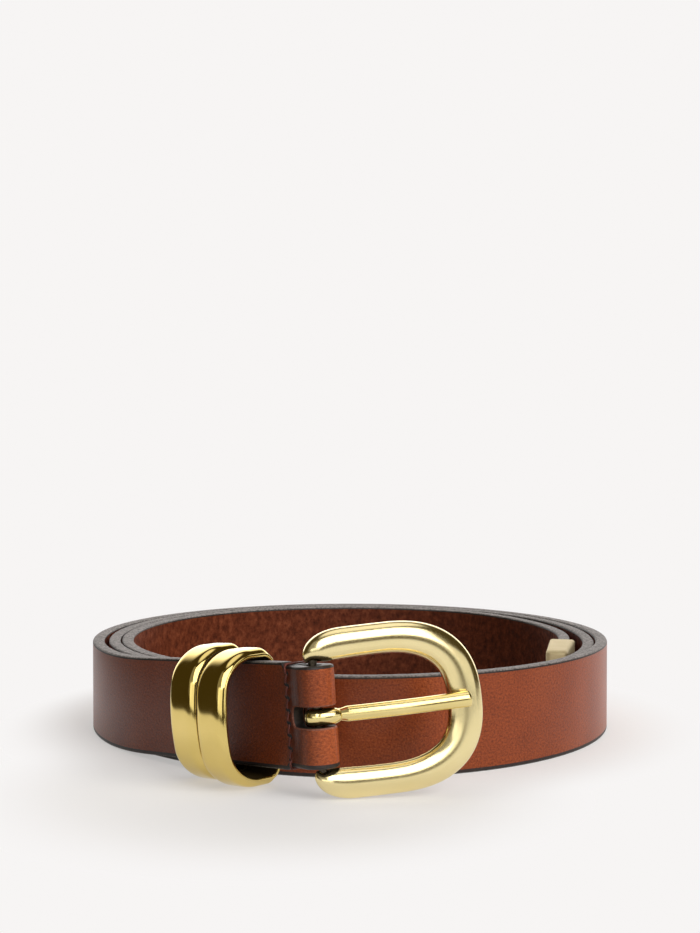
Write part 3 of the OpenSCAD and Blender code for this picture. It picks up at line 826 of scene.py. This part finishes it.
def makeFrame():
    noseEnd = noseP + buckle["noseRound"]
    ps = [noseP + buckle["noseRound"] * (1 - cosd(k)) for k in steps(buckle["firstRing"], 90, 18)]
    ps += between(noseEnd, buckle["armLength"], 10)
    line = [(p, armLine(p)) for p in ps]
    line += [farLine(t) for t in steps(90, -90, 72)]
    line += [(p, -armLine(p)) for p in reversed(ps)]
    points, uvs = [], []
    for (p, q), way, along in zip(line, np.gradient(np.array(line), axis=0), travelOf(line)):
        way = unit(way)
        grow = smooth((p - buckle["armLength"]) / (farMid - buckle["armLength"]))
        wide = buckle["armWidth"] + (buckle["farWidth"] - buckle["armWidth"]) * grow
        wide = (wide + buckle["noseLip"] * armFlare(p)) * noseKeep(p, buckle["noseRound"])
        for angle in fullTurn(buckle["around"]):
            across = wide / 2 * cosd(angle)
            rise = buckle["front"] if sind(angle) > 0 else buckle["rear"]
            deep = noseKeep(p, buckle["noseLength"]) * rise * sind(angle)
            points.append((p - across * way[1], -deep, q + across * way[0]))
            uvs.append((along, across))
    faces = tubeFaces(len(line), buckle["around"])
    return makePiece("buckle_horseshoe", placed(points, buckleAxes(0.0)), faces, [satinGold], uvs=uvs)


seat(makeFrame(), "buckle", "brass", "buckle_frame")


# tongue: an eye on the bar, a long bead in front of it, and a shank that climbs onto the frame's far side

tongue = {
    "wide": 3.6, "thick": 3.2, "lap": 4.8, "rise": 0.5, "flat": 2.0, "fit": 0.25, "drop": 0.2, "lean": 1.0,
    "eyeRadius": 3.2, "eyeWide": 3.9, "eyeFit": 0.06, "eyeRound": 1.8, "chamfer": 0.2, "endRound": 0.8,
    "endTaper": 0.28, "groove": 0.80, "grooveAt": 5.0, "shoulder": 2.0, "ream": 0.04,
    "beadAt": (2.1, 1.55), "beadSize": (3.6, 2.0, 1.98), "beadPower": 2.4, "beadFirst": 2, "beadRings": 36,
    "beadAround": 48, "eyeAround": 64, "shankAround": 72, "crease": 40,
}


# share of its full width that the tongue has at p: a groove behind the bead, then a shoulder
def tongueShare(p):
    return tongue["groove"] + (1 - tongue["groove"]) * smooth((p - tongue["grooveAt"]) / tongue["shoulder"])


def tongueEye(axes, bore):
    high = tongue["eyeWide"] / 2
    r = tongue["eyeRound"]
    cut = tongue["chamfer"]
    profile = [(bore, -high + cut), (bore + cut, -high)]
    profile += [(tongue["eyeRadius"] - r + r * cosd(k), -high + r + r * sind(k)) for k in steps(-90, 0, 8)]
    profile += [(tongue["eyeRadius"] - r + r * cosd(k), high - r + r * sind(k)) for k in steps(0, 90, 8)]
    profile += [(bore + cut, high), (bore, high - cut)]
    points = [(radius * cosd(angle), radius * sind(angle), z)
              for angle in fullTurn(tongue["eyeAround"]) for radius, z in profile]
    faces = ringFaces(tongue["eyeAround"], len(profile), closed=True)
    return makePiece("tongue_eye", placed(points, axes), faces, [tongueGold])


def tongueBead(axes):
    (p, y), (long, deep, high) = tongue["beadAt"], tongue["beadSize"]
    rings, around = tongue["beadRings"], tongue["beadAround"]
    power = 2 / tongue["beadPower"]
    points = []
    for turn in steps(tongue["beadFirst"], 180 - tongue["beadFirst"], rings - 1):
        share = abs(sind(turn)) ** power
        along = math.copysign(abs(cosd(turn)) ** power, -cosd(turn))
        points += [(p + long * along, -y - deep * share * sind(angle), high * share * cosd(angle))
                   for angle in fullTurn(around)]
    return makePiece("tongue_bead", placed(points, axes), tubeFaces(rings, around), [tongueGold])


# room for the bar
def tongueBore(axes, radius, half):
    around = tongue["eyeAround"]
    points = [(radius * cosd(angle), radius * sind(angle), z)
              for z in (-half, half) for angle in fullTurn(around)]
    return makePiece("tongue_bore", placed(points, axes), tubeFaces(2, around), [tongueGold])


def makeTongue():
    axes = buckleAxes(-tongue["drop"])
    bore = buckle["barRadius"] + tongue["eyeFit"]
    eye = tongueEye(axes, bore)
    rest = buckle["front"] + tongue["fit"] + tongue["thick"] / 2
    root = (bore + tongue["eyeRadius"]) / 2
    land = buckle["window"] - tongue["flat"]
    end = buckle["window"] + tongue["lap"]
    neck = tongue["grooveAt"]
    full = neck + tongue["shoulder"]
    turn = tongue["endRound"]

    def climb(p):
        return tongue["rise"] + (rest - tongue["rise"]) * sind(90 * (p - root) / (land - root))

    ps = sorted(set(steps(root, neck, 12)) | set(steps(neck, full, 22)) | set(steps(full, land, 40)))
    row = [(p, climb(p), tongueShare(p)) for p in ps]
    row += [(land + x * (end - turn - land), rest, 1.0) for x in between(0, 1, 5)]
    row += [(end - turn * (1 - sind(k)), rest, 1 - tongue["endTaper"] * (1 - cosd(k)))
            for k in steps(0, 90, 6)]
    points = []
    for p, y, keep in row:
        middle = p * math.tan(math.radians(tongue["lean"]))
        deep = keep * tongue["thick"] / 2
        half = keep * tongue["wide"] / 2
        points += [(p, -y - deep * sind(angle), middle + half * cosd(angle))
                   for angle in fullTurn(tongue["shankAround"])]
    faces = tubeFaces(len(row), tongue["shankAround"])
    shank = makePiece("tongue_bar", placed(points, axes), faces, [tongueGold])
    combine(shank, eye, "UNION")
    combine(shank, tongueBead(axes), "UNION")
    combine(shank, tongueBore(axes, bore + tongue["ream"], tongue["eyeWide"]), "DIFFERENCE")
    shadeSmooth(shank, tongue["crease"])
    return shank


seat(makeTongue(), "tongue", "brass", "tongue")


# keepers: two domed bands that hang on the straight end

keeper = {
    "wide": 10.0, "start": 24.2, "room": 9.8, "wall": 0.9, "dome": 1.3, "topRound": 6.5, "footRound": 6.5,
    "backRound": 2.2, "bulge": 2.2, "play": 1.6, "back": 1.5, "gap": 0.3, "hang": 0.3, "crown": 6.0,
    "lip": 0.22, "rimRound": 0.3, "sill": 0.5,
}
keeperDeep = strapThick + keeper["back"] + keeper["room"]
keeperHigh = strap["width"] + 2 * keeper["play"]
keeperN = (keeper["room"] - strapThick - keeper["back"]) / 2


# inside of a band, as (outward, up, angle of the outward normal)
def keeperLoop():
    deep, high = keeperDeep / 2, keeperHigh / 2
    top, foot, back = keeper["topRound"], keeper["footRound"], keeper["backRound"]

    def corner(start, out, up, r):
        return [(out * (deep - r) + r * cosd(angle), up * (high - r) + r * sind(angle), angle)
                for angle in steps(start, start + 90, 16)]

    loop = corner(0, 1, 1, top)
    loop += [(x, high, 90) for x in between(deep - top, back - deep, 8)]
    loop += corner(90, -1, 1, back)
    loop += [(-deep, y, 180) for y in between(high - back, back - high, 12)]
    loop += corner(180, -1, -1, back)
    loop += [(x, -high, 270) for x in between(back - deep, deep - foot, 8)]
    loop += corner(270, 1, -1, foot)
    loop += [(deep, y, 360) for y in between(foot - high, high - top, 12)]
    return loop


def makeKeeper(i, name):
    wide = keeper["wide"] + i * keeper["lip"]   # the outer band laps over most of the gap
    s = keeper["start"] + i * (keeper["gap"] + 2 * keeper["wide"] - wide)
    half = keeperHigh / 2 + keeper["wall"] + keeper["dome"]
    middle = keeper["start"] + (i + 0.5) * keeper["wide"] + i * keeper["gap"]
    high = leadOrigin[2] + middle * math.sin(leadRise)
    drop = min(keeper["play"] - keeper["hang"],
               (high - 2 * buckle["floorClear"]) / math.cos(leadRise) - half)
    r = keeper["rimRound"]
    inner = [(r * (1 - cosd(k)), r * (1 - sind(k))) for k in steps(90, 0, 4)]
    outer = [(r * (1 - cosd(k)), keeper["wall"] - r * (1 - sind(k))) for k in steps(0, 90, 4)]
    rim = inner + outer
    sill = i * keeper["sill"]   # closes the slit beside the inner band's foot
    points = []
    for out, up, angle in keeperLoop():
        dome = keeper["dome"] * smooth((out + keeperDeep / 2) / keeper["backRound"])
        ahead = smooth((out + keeperDeep / 2 - keeper["backRound"]) / (keeperDeep / 2))
        bow = keeper["bulge"] * (2 * up / keeperHigh) ** 2 * ahead
        section = [(x, y - sill) for x, y in inner] + outer
        for k in between(-1, 1, 56):
            x = math.sin(math.pi / 2 * k)
            section.append((wide / 2 + x * (wide / 2 - r),
                            keeper["wall"] + dome * (1 - abs(x) ** keeper["crown"])))
        section += [(wide - x, y) for x, y in reversed(rim)]
        for x, y in section:
            points.append(onLead(s + x, keeperN + out - bow + y * cosd(angle), up - drop + y * sind(angle)))
    count = len(section)
    faces = ringFaces(len(points) // count, count, closed=True)
    # the inner wall and the rim beside the gap take the near-black gold: painted shade inside the band
    besideGap = range(len(rim) - 1) if i else range(count - len(rim), count - 1)
    shadedColumns = {count - 1, *besideGap}   # the inner wall, and the rim beside the gap
    inside = [1 if k % count in shadedColumns else 0 for k in range(len(faces))]
    return makePiece(name, points, faces, [mirrorGold, bandShade], inside)


seat(makeKeeper(0, "keeper_band_inner"), "keeper_inner", "brass", "keeper_inner")
seat(makeKeeper(1, "keeper_band_outer"), "keeper_outer", "brass", "keeper_outer")


# tip: a bevelled metal end with a slot for the strap

def tipHalf(x):
    return (tip["mouth"] + (tip["end"] - tip["mouth"]) * x / tip["length"]) / 2


def tipPlan(inset):
    r = tip["corner"]
    turn = tip["length"] - r
    back = (tip["endBevel"] / tip["bevel"] - 1) * inset   # the bevel reaches further back at the end
    plan = [(x, -tipHalf(x) + inset) for x in steps(inset, turn, 6)[:-1]]
    for side, first in ((-1, -90), (1, 0)):
        plan += [(turn - back + (r - inset) * cosd(k), side * (tipHalf(turn) - r) + (r - inset) * sind(k))
                 for k in steps(first, first + 90, 6)]
    plan += [(x, tipHalf(x) - inset) for x in steps(turn, inset, 6)[1:]]
    return plan


def onTail(x, out, up):
    return tailRoot[0] + x * tailAlong + out * tailOut + np.array([0, 0, up])


def makeTip():
    middle = (strap["outer"] - strap["lining"]) / 2
    rings = []
    for k in steps(0, 90, 8):
        inset = tip["bevel"] * (1 - sind(k))
        rings.append((-tipHigh / 2 + tip["bevel"] * (1 - cosd(k)), inset))
    rings += [(-z, inset) for z, inset in reversed(rings)]
    points = []
    for z, inset in rings:
        points += [onTail(tip["bare"] + x, middle + y, z) for x, y in tipPlan(inset)]
    faces = tubeFaces(len(rings), len(points) // len(rings))
    body = makePiece("tip_metal", points, faces, [paleGold])
    fit = tip["fit"]
    corners = [(x, n, b) for x in (tip["bare"] - tip["cutAhead"], strapEnd + fit)
               for n in (-strap["lining"] - fit, strap["outer"] + fit)
               for b in (-strap["tailWidth"] / 2 - fit, strap["tailWidth"] / 2 + fit)]
    box = [(0, 1, 3, 2), (4, 5, 7, 6), (0, 1, 5, 4), (2, 3, 7, 6), (0, 2, 6, 4), (1, 3, 7, 5)]
    combine(body, makePiece("tip_room", [onTail(*c) for c in corners], box, [paleGold]), "DIFFERENCE")
    shadeSmooth(body, tip["crease"])
    return body


seat(makeTip(), "strap", "brass", "tip_cap")


# nodes that stay as they are get a finish of their own, a steel darkened as painted shade so the bar shows
# as a dark gap by the roll
for nodeName in ("buckle_bar", "tip_screw"):
    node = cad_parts[nodeName]
    node.data.materials.clear()
    node.data.materials.append(shadedSteelFinish)
print("belt: bar and screw finished")


# floor, light and camera, in metres

studio = {
    "camera": (0.30123, -0.30123, 0.085), "bearing": 45.0, "down": 1.44, "lens": 55.95, "sensor": 36.0,
    "clip": 0.01, "pale": (0.930, 0.912, 0.904, 1.0), "floorShade": (0.90, 0.8865, 0.8775, 1.0),
    "floorSize": 8.0, "floorRough": 0.9, "floorShine": 0.1, "floorGlow": 0.46, "coilFrom": 0.077,
    "coilTo": 0.102, "buckleAt": (0.045, -0.070, 0.0), "buckleFrom": 0.040, "buckleTo": 0.075,
    "darkAheadFrom": 0.36, "darkAheadSoft": 0.05, "bounce": 0.2, "darkLeftFrom": -0.160, "darkLeftSoft": 0.025,
}
room = {
    "dark": (0.060, 0.044, 0.012, 1.0), "backdrop": (2.40, 2.34, 2.30, 1.0),
    "overhead": (1.20, 1.16, 1.12, 1.0), "backFrom": -0.50, "backTo": -0.80, "wallFrom": 0.70,
    "wallTo": 0.86, "topFrom": 0.90, "topTo": 0.96,
}
toCamera = (sind(studio["bearing"]), -cosd(studio["bearing"]), 0.0)
toRight = (cosd(studio["bearing"]), sind(studio["bearing"]), 0.0)
straightUp = (0.0, 0.0, 1.0)


def addCamera():
    lens = bpy.data.cameras.new("camera")
    lens.lens = studio["lens"]
    lens.sensor_width = studio["sensor"]
    lens.clip_start = studio["clip"]
    camera = bpy.data.objects.new("camera", lens)
    camera.location = studio["camera"]
    camera.rotation_euler = (math.radians(90 - studio["down"]), 0, math.radians(studio["bearing"]))
    scene.collection.objects.link(camera)
    scene.camera = camera


def addFloor():
    half = studio["floorSize"] / 2
    corners = [(-half, -half, 0), (half, -half, 0), (half, half, 0), (-half, half, 0)]
    mesh = bpy.data.meshes.new("floor")
    mesh.from_pydata(corners, [], [(0, 1, 2, 3)])
    floor = bpy.data.objects.new("floor", mesh)
    scene.collection.objects.link(floor)
    finish, tree, shader = newFinish("pale_floor")
    feed(tree, shader, {"Base Color": studio["floorShade"], "Roughness": studio["floorRough"],
                        "Specular IOR Level": studio["floorShine"]})
    glow = addNode(tree, "Emission", {"Color": studio["pale"]}).outputs[0]
    dark = addNode(tree, "Emission", {"Color": room["dark"]}).outputs[0]
    place = addNode(tree, "NewGeometry", {}).outputs["Position"]

    def farFrom(middle, near, far):
        return rangeOf(tree, vectorOf(tree, "DISTANCE", place, middle), 0.0, 1.0, near, far, "SMOOTHSTEP")

    # shaded near the belt, plain and evenly pale further out
    clear = times(tree, farFrom((0, 0, 0), studio["coilFrom"], studio["coilTo"]),
                  farFrom(studio["buckleAt"], studio["buckleFrom"], studio["buckleTo"]))
    soft = overlaid(tree, studio["floorGlow"], shader.outputs[0], glow)
    plain = overlaid(tree, clear, soft, glow)
    # in reflections the floor turns dark in front and at the left, a painted reflection of a dark room, and
    # little light bounces up
    path = addNode(tree, "LightPath", {}).outputs
    edge = rangeOf(tree, vectorOf(tree, "DOT_PRODUCT", place, toCamera), 0.0, 1.0,
                   studio["darkAheadFrom"], studio["darkAheadFrom"] + studio["darkAheadSoft"])
    left = rangeOf(tree, vectorOf(tree, "DOT_PRODUCT", place, toRight), 1.0, 0.0,
                   studio["darkLeftFrom"] - studio["darkLeftSoft"], studio["darkLeftFrom"])
    glossy = times(tree, mathOf(tree, "MAXIMUM", edge, left), path["Is Glossy Ray"])
    dim = added(tree, glossy, path["Is Diffuse Ray"], 1 - studio["bounce"])
    feed(tree, tree.nodes["Material Output"], {"Surface": overlaid(tree, dim, plain, dark)})
    mesh.materials.append(finish)


# the room: white behind the belt and overhead, dark at the sides, plain and pale where the camera sees it
def addRoom():
    world = bpy.data.worlds.new("room")
    scene.world = world
    world.use_nodes = True
    tree = world.node_tree
    place = addNode(tree, "TexCoord", {}).outputs["Generated"]

    def facing(way, low, high):
        return rangeOf(tree, vectorOf(tree, "DOT_PRODUCT", place, way), 0.0, 1.0, low, high, "SMOOTHSTEP")

    behind = times(tree, facing(toCamera, room["backFrom"], room["backTo"]),
                   facing(straightUp, room["wallTo"], room["wallFrom"]))
    walls = mixed(tree, behind, room["dark"], room["backdrop"])
    whole = mixed(tree, facing(straightUp, room["topFrom"], room["topTo"]), walls, room["overhead"])
    light = tree.nodes["Background"]
    feed(tree, light, {"Color": whole})
    seen = addNode(tree, "Background", {"Color": studio["pale"]}).outputs[0]
    path = addNode(tree, "LightPath", {}).outputs
    shown = overlaid(tree, path["Is Camera Ray"], light.outputs[0], seen)
    feed(tree, tree.nodes["World Output"], {"Surface": shown})


# soft boxes: bearing from the camera, height above the horizon, distance, width, height, brightness,
# and whether they light the leather or shine in the metal
softBoxes = {
    "key_right": (46.0, 30.0, 3.0, 2.4, 2.4, 4.7, True, False),
    "band": (8.0, 36.0, 3.0, 2.4, 2.3, 3.0, False, True),
    "panel_right": (47.0, 9.0, 3.0, 2.6, 1.6, 0.85, False, True),
    "flank": (-19.0, 8.0, 3.0, 2.8, 1.0, 1.25, False, True),
    "haze": (-42.0, 30.0, 3.1, 2.4, 3.0, 0.25, False, True),
}


def addLights():
    for name, (bearing, height, away, wide, high, bright, lights, shines) in softBoxes.items():
        lamp = bpy.data.lights.new(name, "AREA")
        lamp.shape = "RECTANGLE"
        lamp.size = wide
        lamp.size_y = high
        lamp.energy = bright * math.pi * wide * high
        turn = studio["bearing"] + bearing
        level = away * cosd(height)
        light = bpy.data.objects.new(name, lamp)
        light.location = (level * sind(turn), -level * cosd(turn), away * sind(height))
        light.rotation_euler = (math.radians(90 - height), 0, math.radians(turn))
        light.visible_diffuse = lights
        light.visible_glossy = shines
        scene.collection.objects.link(light)


scene.view_settings.view_transform = "Standard"
addCamera()
addFloor()
addRoom()
addLights()
print("belt: floor, light and camera ready")
